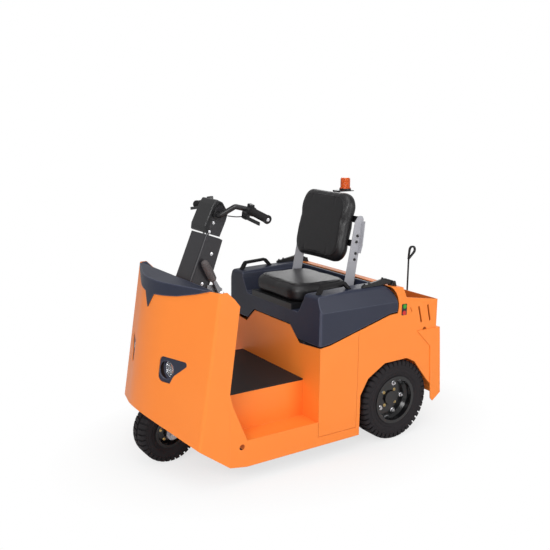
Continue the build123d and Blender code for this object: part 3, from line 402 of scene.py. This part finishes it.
# faces that meet at more than smooth degrees keep a sharp edge
def keepPiece(shape, name, body, slot, smooth=40.0, hides=(), finish=None):
    piece = bpy.data.objects.new(name, shape)
    bpy.context.collection.objects.link(piece)
    shape.materials.clear()
    shape.materials.append(finish or finishes[slot])
    for face in shape.polygons:
        face.use_smooth = True
    if smooth < 180:
        shape.set_sharp_from_angle(angle=math.radians(smooth))
    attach(piece, body)
    slot in slotNames
    if hides:
        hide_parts(*hides)
    return piece


# closed ring: profile points are (along the axis, radius), turned about the axis through centre
def spun(mesh, profile, centre, axis=(1, 0, 0), steps=72):
    axis = Vector(axis).normalized()
    out = axis.orthogonal().normalized()
    centre = Vector(centre)
    ring = [mesh.verts.new(centre + axis * along + out * radius) for along, radius in profile]
    edges = [mesh.edges.new((ring[i], ring[(i + 1) % len(ring)])) for i in range(len(ring))]
    bmesh.ops.spin(mesh, geom=ring + edges, cent=centre, axis=axis, angle=2 * math.pi, steps=steps,
                   use_merge=True)
    bmesh.ops.remove_doubles(mesh, verts=mesh.verts, dist=1e-6)
    bmesh.ops.dissolve_degenerate(mesh, edges=mesh.edges, dist=1e-7)


def everything(mesh):
    return mesh.verts[:] + mesh.edges[:] + mesh.faces[:]


# places in a ring round an axle, at one distance across the machine
def ringRound(axle, across, radius, count, start=0):
    turns = [math.radians(360 / count * k + start) for k in range(count)]
    return [(across, axle[1] + radius * math.sin(turn), axle[2] + radius * math.cos(turn)) for turn in turns]


# round tube through the points as a mesh
def tube(points, radius, closed=False, sides=10):
    curve = bpy.data.curves.new("tubePath", "CURVE")
    curve.dimensions = "3D"
    spline = curve.splines.new("POLY")
    spline.points.add(len(points) - 1)
    for point, place in zip(spline.points, points):
        point.co = (*place, 1)
    spline.use_cyclic_u = closed
    curve.bevel_depth, curve.bevel_resolution, curve.use_fill_caps = radius, sides // 4, True
    holder = bpy.data.objects.new("tubePath", curve)
    shape = bpy.data.meshes.new_from_object(holder)
    bpy.data.objects.remove(holder)
    return shape


# tyres, in metres; a lug fills a share of its pitch, slants by a share of it, and starts near the middle
tyres = {
    "rear": {"half": 0.0565, "radius": 0.190, "rim": 0.113, "bead": 0.050, "lugs": 42, "groove": 0.011},
    "front": {"half": 0.0526, "radius": 0.136, "rim": 0.070, "bead": 0.045, "lugs": 34, "groove": 0.007},
    "steps": 112, "fill": 0.72, "slant": 0.35, "inner": 0.006,
}
sidewall = [  # (in from the widest place, share of the wall's height above the rim)
    (0.0032, 0.12), (0.002, 0.2), (0.0034, 0.22), (0.0008, 0.27), (0, 0.38), (0, 0.46), (0.0016, 0.48),
    (0.0008, 0.52), (0.003, 0.66),
]
wheels = (  # piece, kind of tyre, node, body
    ("reartreadTyreleft", "rear", "rear_tyre_left", "rear_wheel_left"),
    ("reartreadTyreright", "rear", "rear_tyre_right", "rear_wheel_right"),
    ("fronttreadTyre", "front", "front_tyre", "front_wheel"),
)


# profiles are (across the tyre, radius)
def carcassProfile(half, rim, bead, wall, base):
    outer = [(bead, rim - 0.009), (bead, rim + 0.0008), (bead + 0.001, rim + wall * 0.06)]
    outer += [(half - inward, rim + wall * share) for inward, share in sidewall]
    outer += [(half - 0.007, base - wall * 0.08), (half - 0.014, base - 0.001), (half * 0.4, base)]
    return outer + [(-across, radius) for across, radius in reversed(outer)]


def lugProfile(half, radius, rim, wall, base):
    foot = [(tyres["inner"], base - 0.002), (half - 0.012, base - 0.003), (half - 0.0042, rim + wall * 0.6)]
    side = [(half - 0.0004, rim + wall * 0.66), (half - 0.0012, radius - 0.012)]
    tread = [(half - 0.006, radius - 0.004), (half - 0.013, radius - 0.0006), (tyres["inner"], radius)]
    return foot + side + tread


# one slanted lug, copied right round and then onto the other shoulder, half a pitch on
def treadBlocks(mesh, profile, centre, lugs, share, lag):
    x, y, z = centre
    pitch = 2 * math.pi / lugs
    corners = [mesh.verts.new((x + across, y, z + radius)) for across, radius in profile]
    face = mesh.faces.new(corners)
    bmesh.ops.spin(mesh, geom=[face, *face.edges, *corners], cent=centre, axis=(1, 0, 0),
                   angle=pitch * share, steps=2)
    inner, outer = min(across for across, _ in profile), max(across for across, _ in profile)
    for vertex in mesh.verts:
        turn = Matrix.Rotation(lag * (outer - (vertex.co.x - x)) / (outer - inner), 4, "X")
        vertex.co = Vector(centre) + turn @ (vertex.co - Vector(centre))
    bmesh.ops.spin(mesh, geom=everything(mesh), cent=centre, axis=(1, 0, 0),
                   angle=2 * math.pi * (lugs - 1) / lugs, steps=lugs - 1, use_duplicate=True)
    other = bmesh.ops.duplicate(mesh, geom=everything(mesh))["geom"]
    flipped = [item for item in other if isinstance(item, bmesh.types.BMVert)]
    bmesh.ops.scale(mesh, vec=(-1, 1, 1), verts=flipped, space=Matrix.Translation(-Vector(centre)))
    bmesh.ops.rotate(mesh, cent=centre, matrix=Matrix.Rotation(pitch / 2, 3, "X"), verts=flipped)


def makeTyre(name, kind, node, body):
    spec, centre = tyres[kind], jointAt[body + "_spin"]
    half, radius, rim, lugs = spec["half"], spec["radius"], spec["rim"], spec["lugs"]
    base, wall = radius - spec["groove"], radius - rim
    carcass = bmesh.new()
    spun(carcass, carcassProfile(half, rim, spec["bead"], wall, base), centre, steps=tyres["steps"])
    treads = bmesh.new()
    treadBlocks(treads, lugProfile(half, radius, rim, wall, base), centre, lugs, tyres["fill"],
                2 * math.pi / lugs * tyres["slant"])
    blocks = bpy.data.meshes.new("blocks")
    treads.to_mesh(blocks)
    treads.free()
    carcass.from_mesh(blocks)
    bpy.data.meshes.remove(blocks)
    finishPiece(carcass, name, body, "tyre_black", 35, (node,))


for name, kind, node, body in wheels:
    makeTyre(name, kind, node, body)
print("tyres made")


# fasteners: hexagon head on a round washer, with the end of its stud; size is half its width across corners
boltLook = {"washer": 1.5, "thick": 0.26, "washerEdge": 0.3, "headEdge": 0.16, "stud": 0.52, "studTip": 0.42,
            "studTall": 0.3, "studMiddle": 1.1}


def hexBolt(mesh, place, facing, size, height):
    upright = Vector(facing).normalized().to_track_quat("Z", "Y").to_matrix().to_4x4()
    seat = Matrix.Translation(place) @ upright
    thick = size * boltLook["thick"]
    washer = (20, size * boltLook["washer"], 0.0, thick, thick * boltLook["washerEdge"])
    head = (6, size, thick, height, height * boltLook["headEdge"])
    for sides, radius, low, tall, soften in (washer, head):
        made = bmesh.ops.create_cone(mesh, cap_ends=True, segments=sides, radius1=radius, radius2=radius,
                                     depth=tall, matrix=seat @ Matrix.Translation((0, 0, low + tall / 2)))
        top = max({face for vertex in made["verts"] for face in vertex.link_faces},
                  key=lambda face: (seat.inverted() @ face.calc_center_median()).z)
        bmesh.ops.bevel(mesh, geom=list(top.edges), offset=soften, affect="EDGES", segments=2, profile=0.5,
                        material=-1)
    bmesh.ops.create_cone(mesh, cap_ends=True, segments=12, radius1=size * boltLook["stud"],
                          radius2=size * boltLook["studTip"], depth=height * boltLook["studTall"],
                          matrix=seat @ Matrix.Translation((0, 0, thick + height * boltLook["studMiddle"])))


# where a bolt meets the named nodes' skin, looked for from a little outside, and the way the skin faces
def seatOn(nodes, start, facing, outside=0.04, reach=0.12, sunk=0.0002):
    best = None
    for node in nodes:
        mesh = frame["nodes"][node].data
        tree = BVHTree.FromPolygons([v.co for v in mesh.vertices], [p.vertices for p in mesh.polygons])
        origin = Vector(start) + Vector(facing) * outside
        place, normal, _, gap = tree.ray_cast(origin, -Vector(facing), reach)
        if place and (best is None or gap < best[2]):
            best = (place, normal, gap)
    if best is None:
        raise ValueError("no seat for a bolt at " + str(start))
    return best[0] - best[1].normalized() * sunk, best[1]


# the same place on both sides of the machine, facing outward
def bothSides(across, places):
    return [((hand * across, y, z), (hand, 0, 0)) for hand in hands for y, z in places]


seated = {  # group: nodes it sits on, body, slot, size, head height, rows of (place near the skin, facing)
    "columnScrews": (("steering_column",), "tractor", "zinc", 0.0048, 0.0035,
                     bothSides(0.072, ((-0.453, 0.900), (-0.499, 0.776)))),
    "headScrews": (("steering_head", "head_cover"), "handlebar_head", "zinc", 0.0042, 0.003,
                   bothSides(0.064, ((-0.438, 1.029), (-0.458, 0.993)))),
    "brakePivot": (("parking_brake_lever",), "tractor", "zinc", 0.0085, 0.006,
                   [((0.105, -0.423, 0.730), (1, 0, 0))]),
    "armBolts": (("hood_hinge_arms",), "hood", "black_steel", 0.0046, 0.005,
                 [((hand * 0.340, y, 0.77), (0, 0, 1)) for hand in hands for y in (0.160, 0.186, 0.262)]),
    "pivotNuts": (("hood_hinge_brackets",), "tractor", "black_steel", 0.0062, 0.005,
                  bothSides(0.352, (hoodPivot[1:],))),
    "frontHubBolts": (("front_rim",), "front_wheel", "brass", 0.0048, 0.004,
                      [(place, (hand, 0, 0)) for hand in hands
                       for place in ringRound(frontAxle, hand * 0.03, 0.040, 5)]),
    "jawBolts": (("tow_coupling",), "tractor", "black_steel", 0.0095, 0.008,
                 [((hand * 0.052, 0.62, z), (0, 1, 0)) for hand in hands for z in (0.285, 0.405)]),
}
for name, (nodes, body, slot, size, height, rows) in seated.items():
    heads = bmesh.new()
    for place, facing in rows:
        seat, outward = seatOn(nodes, place, facing)
        hexBolt(heads, seat, outward, size, height)
    finishPiece(heads, name, body, slot, 30)

# bolts in the side bars' slots, a pair to each slot along the lean, and the nuts and bolts on the wheel webs;
# slots are (y from the rear axle, z)
sideBar = {"across": 0.2079, "slots": ((-0.1245, 0.9305), (-0.133, 0.851)), "apart": (-0.014, 0.014)}
slotBolts = [((hand * sideBar["across"], rearAxle[1] + y + step * math.sin(backLean),
               z + step * math.cos(backLean)), (hand, 0, 0))
             for hand in hands for y, z in sideBar["slots"] for step in sideBar["apart"]]
flat = {"slotBolts": ("hood", "black_steel", 0.0048, 0.005, slotBolts)}
webFace = 0.3309
webFasteners = (  # group, slot, size, head height, ring's radius, how many, first angle
    ("wheelNuts", "zinc", 0.0078, 0.009, 0.070, 5, 18),
    ("hubBolts", "brass", 0.0048, 0.004, 0.0445, 4, 40),
)
for side, hand in zip(("Left", "Right"), hands):
    for group, slot, size, height, ring, count, start in webFasteners:
        rows = [(place, (hand, 0, 0)) for place in ringRound(rearAxle, hand * webFace, ring, count, start)]
        flat[group + side] = ("rear_wheel_" + side.lower(), slot, size, height, rows)
for name, (body, slot, size, height, rows) in flat.items():
    heads = bmesh.new()
    for place, facing in rows:
        hexBolt(heads, place, facing, size, height)
    finishPiece(heads, name, body, slot, 30)
print("fasteners made")


# grips: a row of ribs, each with its rise, flat top and fall at shares of the pitch
def ribOutline(start, pitch, count, radiusAt, height, rise, fall, end=0.9):
    outline = []
    for rib in range(count):
        base, radius = start + rib * pitch, radiusAt(rib)
        outline += [(base, radius), (base + pitch * rise, radius + height)]
        outline += [(base + pitch * fall, radius + height), (base + pitch * end, radius)]
    return outline


# knee and end lie on the left bar end's line, and before and after are the plain stretches beside the ribs;
# points are (after the start, radius) for the collar, (before the stop, radius) for the cap and
# (out from its seat, radius) for the plug
handGrip = {
    "knee": (0.152, -0.325, 1.090), "end": (0.300, -0.326, 1.066), "start": 0.0379, "stop": 0.1600,
    "radius": 0.0152, "ribs": 15, "rib": 0.0016, "rise": 0.25, "fall": 0.65, "before": 0.009, "after": 0.016,
    "collar": [(0, 0.0114), (0, 0.0190), (0.001, 0.0200), (0.003, 0.0200), (0.0045, 0.0158)],
    "cap": [(0.012, 0.0162), (0.010, 0.0182), (0.003, 0.0186), (0.0006, 0.0165), (0, 0.0120),
            (0.0012, 0.0060), (0.0012, 0), (0.0098, 0), (0.0098, 0.0114)],
    "plug": [(0, 0), (0, 0.0078), (0.0016, 0.0076), (0.0026, 0.0062), (0.0030, 0.0035), (0.0022, 0.0030),
             (0.0022, 0)],
    "plugSunk": 0.0012,
}


def barEnd(hand):
    knee = Vector(handGrip["knee"]) * Vector((hand, 1, 1))
    return knee, Vector(handGrip["end"]) * Vector((hand, 1, 1)) - knee


def handGripOutline():
    first, last, count = handGrip["start"], handGrip["stop"], handGrip["ribs"]
    pitch = (last - handGrip["after"] - first - handGrip["before"]) / count
    ribs = ribOutline(first + handGrip["before"], pitch, count, lambda rib: handGrip["radius"],
                      handGrip["rib"], handGrip["rise"], handGrip["fall"])
    collar = [(first + after, radius) for after, radius in handGrip["collar"]]
    return collar + ribs + [(last - before, radius) for before, radius in handGrip["cap"]]


def plugOutline():
    seat = handGrip["stop"] - handGrip["plugSunk"]
    return [(seat + out, radius) for out, radius in handGrip["plug"]]


grips = bmesh.new()
plugs = bmesh.new()
for hand in hands:
    knee, along = barEnd(hand)
    spun(grips, handGripOutline(), knee, axis=along, steps=40)
    spun(plugs, plugOutline(), knee, axis=along, steps=28)
finishPiece(grips, "ribbedGrips", "handlebar_head", "black_rubber", 50, ("hand_grips",))
finishPiece(plugs, "barPlugs", "handlebar_head", "zinc", 40)

# foot and bore points are (after the neck, radius), and top points (before the end, radius)
brakeGrip = {
    "neck": (0.090, -0.455, 0.790), "lean": (0.0, -0.4706, 0.8824), "length": 0.100, "ribs": 9, "rib": 0.0022,
    "rise": 0.2, "fall": 0.7, "before": 0.006, "plain": 0.02, "radius": 0.0145, "swell": 0.0018,
    "foot": [(0.0004, 0.0066), (0.0004, 0.0125), (0.003, 0.0145)],
    "top": [(0.012, 0.0150), (0.006, 0.0140), (0.002, 0.0105), (0, 0.0055), (0, 0)],
    "bore": [(0.0412, 0), (0.0412, 0.0066)],
}


def brakeRadius(rib):
    return brakeGrip["radius"] + brakeGrip["swell"] * math.sin(math.pi * (rib + 0.5) / brakeGrip["ribs"])


def brakeGripOutline():
    length, count = brakeGrip["length"], brakeGrip["ribs"]
    ribs = ribOutline(brakeGrip["before"], (length - brakeGrip["plain"]) / count, count, brakeRadius,
                      brakeGrip["rib"], brakeGrip["rise"], brakeGrip["fall"])
    top = [(length - before, radius) for before, radius in brakeGrip["top"]]
    return brakeGrip["foot"] + ribs + top + brakeGrip["bore"]


handle = bmesh.new()
spun(handle, brakeGripOutline(), brakeGrip["neck"], axis=brakeGrip["lean"], steps=40)
finishPiece(handle, "ribbedBrakeGrip", "tractor", "black_rubber", 50, ("parking_brake_grip",),
            finish=rubberFinish("brakeGripRubber", (0.125, 0.11, 0.11), (0.085, 0.075, 0.075),
                                roughness=0.45, grainSize=700))
print("grips made")

# the cap's moulding folds over the top corners of the wings, inside; line points are (y, z)
capCorner = {"inner": 0.3757, "thick": 0.0022, "edge": 0.0012,
             "line": ((-0.5745, 0.738), (-0.5745, 0.8052), (-0.5535, 0.8052), (-0.5225, 0.7745),
                      (-0.5105, 0.7600), (-0.5200, 0.7480))}
folds = bmesh.new()
for hand in hands:
    ring = [folds.verts.new((hand * capCorner["inner"], y, z)) for y, z in capCorner["line"]]
    grown = bmesh.ops.extrude_face_region(folds, geom=[folds.faces.new(ring)])["geom"]
    bmesh.ops.translate(folds, vec=(-hand * capCorner["thick"], 0, 0),
                        verts=[item for item in grown if isinstance(item, bmesh.types.BMVert)])
    rim = [edge for item in grown if isinstance(item, bmesh.types.BMFace) for edge in item.edges]
    bmesh.ops.bevel(folds, geom=rim, offset=capCorner["edge"], affect="EDGES", segments=2, profile=0.5,
                    material=-1)
finishPiece(folds, "capCorners", "tractor", "cover_slate", 35)

# headlamp bulbs in their bowls, behind the lenses; outline points are (toward the front if negative, radius)
lensLow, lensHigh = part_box("headlamp_lenses")
bulb = {"across": 0.160, "height": 0.462, "behind": 0.0205,
        "outline": [(0, 0), (0, 0.0085), (-0.006, 0.0085), (-0.007, 0.006), (-0.011, 0.006),
                    (-0.0145, 0.0045), (-0.016, 0)]}
bulbs = bmesh.new()
for hand in hands:
    seat = (hand * bulb["across"], (lensLow[1] + lensHigh[1]) / 2 + bulb["behind"], bulb["height"])
    spun(bulbs, bulb["outline"], seat, axis=(0, 1, 0), steps=28)
finishPiece(bulbs, "lampBulbs", "tractor", "lamp_chrome", 40)


# padded seat: shrunk copy of the CAD solid, remeshed, blown up by a pressure simulation and welted, in metres
padMaking = {
    "shrink": 0.005, "voxel": 0.006, "pressure": 4.0, "tension": 8, "compression": 30, "bending": 6,
    "quality": 5, "frames": 20, "cap": 0.009, "smoothings": 7, "fall": 0.55, "proud": 0.001,
    "channels": (-0.085, 0.085), "channelDepth": 0.0035, "channelWidth": 0.0045,
    "weltRadius": 0.0026, "weltSunk": 0.0004, "weltStep": 0.008, "cornerSteps": 9,
}
pads = {
    "cushion": {"node": "seat_cushion", "face": (0, 0, 1), "up": (0, 1, 0), "inset": 0.036, "corner": 0.055,
                "crown": 0.010},
    "backPad": {"node": "backrest", "face": (0, -math.cos(backLean), math.sin(backLean)),
                "up": (0, math.sin(backLean), math.cos(backLean)), "inset": 0.036, "corner": 0.052,
                "crown": 0.008},
}


def inflated(shape, name, cap):
    holder = bpy.data.objects.new(name + "Work", shape)
    bpy.context.collection.objects.link(holder)
    remesh = holder.modifiers.new("grid", "REMESH")
    remesh.mode, remesh.voxel_size = "VOXEL", padMaking["voxel"]
    grid = bpy.data.meshes.new_from_object(holder.evaluated_get(bpy.context.evaluated_depsgraph_get()))
    holder.modifiers.clear()
    holder.data = grid
    start = [v.co.copy() for v in grid.vertices]
    cloth = holder.modifiers.new("cloth", "CLOTH")
    settings = cloth.settings
    settings.use_pressure, settings.uniform_pressure_force = True, padMaking["pressure"]
    settings.effector_weights.gravity = 0.0
    settings.tension_stiffness = padMaking["tension"]
    settings.compression_stiffness = padMaking["compression"]
    settings.bending_stiffness = padMaking["bending"]
    settings.quality = padMaking["quality"]
    cloth.collision_settings.use_collision = False
    cloth.point_cache.frame_start, cloth.point_cache.frame_end = 1, padMaking["frames"]
    for step in range(1, padMaking["frames"] + 1):
        bpy.context.scene.frame_set(step)
    blown = holder.evaluated_get(bpy.context.evaluated_depsgraph_get()).data
    for vertex, old, moved in zip(grid.vertices, start, [v.co.copy() for v in blown.vertices]):
        shift = moved - old
        if shift.length > cap:
            shift = shift.normalized() * cap
        vertex.co = old + shift
    holder.modifiers.clear()
    bpy.context.scene.frame_set(1)
    bpy.data.objects.remove(holder)
    return grid


# points evenly round a rectangle with round corners, centred on the origin
def roundedLoop(halfWide, halfTall, corner, count):
    points = []
    for quarter, (east, north) in enumerate(((1, 1), (-1, 1), (-1, -1), (1, -1))):
        for step in range(count):
            angle = math.pi / 2 * (quarter + step / (count - 1))
            points.append(((halfWide - corner) * east + corner * math.cos(angle),
                           (halfTall - corner) * north + corner * math.sin(angle)))
    dense = []
    for (ax, ay), (bx, by) in zip(points, points[1:] + points[:1]):
        parts = max(1, int(math.hypot(bx - ax, by - ay) / padMaking["weltStep"]))
        dense += [(ax + (bx - ax) * k / parts, ay + (by - ay) * k / parts) for k in range(parts)]
    return dense


# the front face swells between its seams, with sewn channels, and nothing leaves the CAD solid's space
def shapeFront(pad, axes, halves, centre, halfWide, halfTall, crown):
    for vertex in pad.verts:
        offset = vertex.co - centre
        across, along, front = (offset.dot(axis) for axis in axes)
        if front > 0:
            inner = max(0.0, 1 - (across / halfWide) ** 2) * max(0.0, 1 - (along / halfTall) ** 2)
            vertex.co += axes[2] * crown * (inner ** 0.5 - padMaking["fall"])
            if abs(across) < halfWide and abs(along) < halfTall:
                for line in padMaking["channels"]:
                    groove = math.exp(-((across - line) / padMaking["channelWidth"]) ** 2)
                    vertex.co -= axes[2] * padMaking["channelDepth"] * groove
    for vertex in pad.verts:
        offset = vertex.co - centre
        for axis, half in zip(axes, halves):
            value, limit = offset.dot(axis), half + padMaking["proud"]
            if abs(value) > limit:
                vertex.co -= axis * (abs(value) - limit) * (1 if value > 0 else -1)


def makePad(name, spec):
    shape = frame["nodes"][spec["node"]].data.copy()
    corners = [v.co.copy() for v in shape.vertices]
    face, up = Vector(spec["face"]), Vector(spec["up"])
    side = up.cross(face).normalized()
    axes = (side, up, face)
    middle = sum(corners, Vector()) / len(corners)
    ranges = [[(corner - middle).dot(axis) for corner in corners] for axis in axes]
    halves = [(max(values) - min(values)) / 2 for values in ranges]
    middles = [(max(values) + min(values)) / 2 for values in ranges]
    centre = middle + sum((axis * value for axis, value in zip(axes, middles)), Vector())
    for vertex, corner in zip(shape.vertices, corners):
        offset = corner - centre
        vertex.co = centre + sum((axis * offset.dot(axis) * (half - padMaking["shrink"]) / half
                                  for axis, half in zip(axes, halves)), Vector())
    pad = bmesh.new()
    pad.from_mesh(inflated(shape, name, padMaking["cap"]))
    for _ in range(padMaking["smoothings"]):
        bmesh.ops.smooth_vert(pad, verts=pad.verts, factor=0.5, use_axis_x=True, use_axis_y=True,
                              use_axis_z=True)
    halfWide, halfTall = halves[0] - spec["inset"], halves[1] - spec["inset"]
    shapeFront(pad, axes, halves, centre, halfWide, halfTall, spec["crown"])
    tree = BVHTree.FromBMesh(pad)
    piece = finishPiece(pad, name, "hood", "seat_black", 180, (spec["node"],))
    rounding = piece.modifiers.new("rounding", "SUBSURF")
    rounding.levels = rounding.render_levels = 1
    welt = []
    for across, along in roundedLoop(halfWide, halfTall, spec["corner"], padMaking["cornerSteps"]):
        hit = tree.ray_cast(centre + side * across + up * along + face * 0.2, -face)[0]
        if hit:
            welt.append(hit - face * padMaking["weltSunk"])
    keepPiece(tube(welt, padMaking["weltRadius"], closed=True), name + "Welt", "hood", "seat_black", 60)
    print(name, "made")


for name, spec in pads.items():
    makePad(name, spec)

# stage: floor that keeps a soft shadow, and a white surround
stageLook = {"size": 14, "squares": 24, "grey": (0.8, 0.8, 0.8), "lift": 0.7, "squeeze": 1.5, "clear": 0.6,
             "fade": 1.8, "mirror": 0.45, "through": 0.6, "ambient": 0.38}


# the floor turns white for the camera, partly everywhere and wholly away from the machine
def studioFloor():
    ground = bmesh.new()
    squares = stageLook["squares"]
    bmesh.ops.create_grid(ground, x_segments=squares, y_segments=squares, size=stageLook["size"])
    mesh = bpy.data.meshes.new("studioFloor")
    ground.to_mesh(mesh)
    ground.free()
    floor = bpy.data.objects.new("studioFloor", mesh)
    bpy.context.collection.objects.link(floor)
    finish = Finish("paleFloor", Base_Color=stageLook["grey"], Roughness=0.9, Specular_IOR_Level=0.0)
    across, along = finish.axis(0) * stageLook["squeeze"], finish.axis(1)
    away = (across * across + along * along).root()
    white = ((away - stageLook["clear"]) * stageLook["fade"]).atLeast(0.0).atMost(1.0)
    seen = finish.node("LightPath", out="Is Camera Ray")
    share = seen * (stageLook["lift"] + white * (1 - stageLook["lift"]))
    glow = finish.node("Emission", Strength=1.0)
    blend = finish.node("MixShader", sockets={0: share, 1: Flow(finish, finish.shader.outputs[0]), 2: glow})
    finish.feed(finish.tree.nodes["Material Output"], {"Surface": blend})
    mesh.materials.append(finish.material)


def studioWorld():
    world = bpy.data.worlds.new("studio")
    bpy.context.scene.world = world
    world.use_nodes = True
    sky = Nodes(world.node_tree)
    seen, glossy, through = (sky.node("LightPath", out="Is " + ray + " Ray")
                             for ray in ("Camera", "Glossy", "Transmission"))
    light = seen + through * stageLook["through"] + glossy * stageLook["mirror"]
    sky.feed(sky.tree.nodes["Background"], {"Strength": light.atLeast(stageLook["ambient"]).atMost(1.0),
                                            "Color": (1.0, 1.0, 1.0)})


studioFloor()
studioWorld()
print("stage ready")
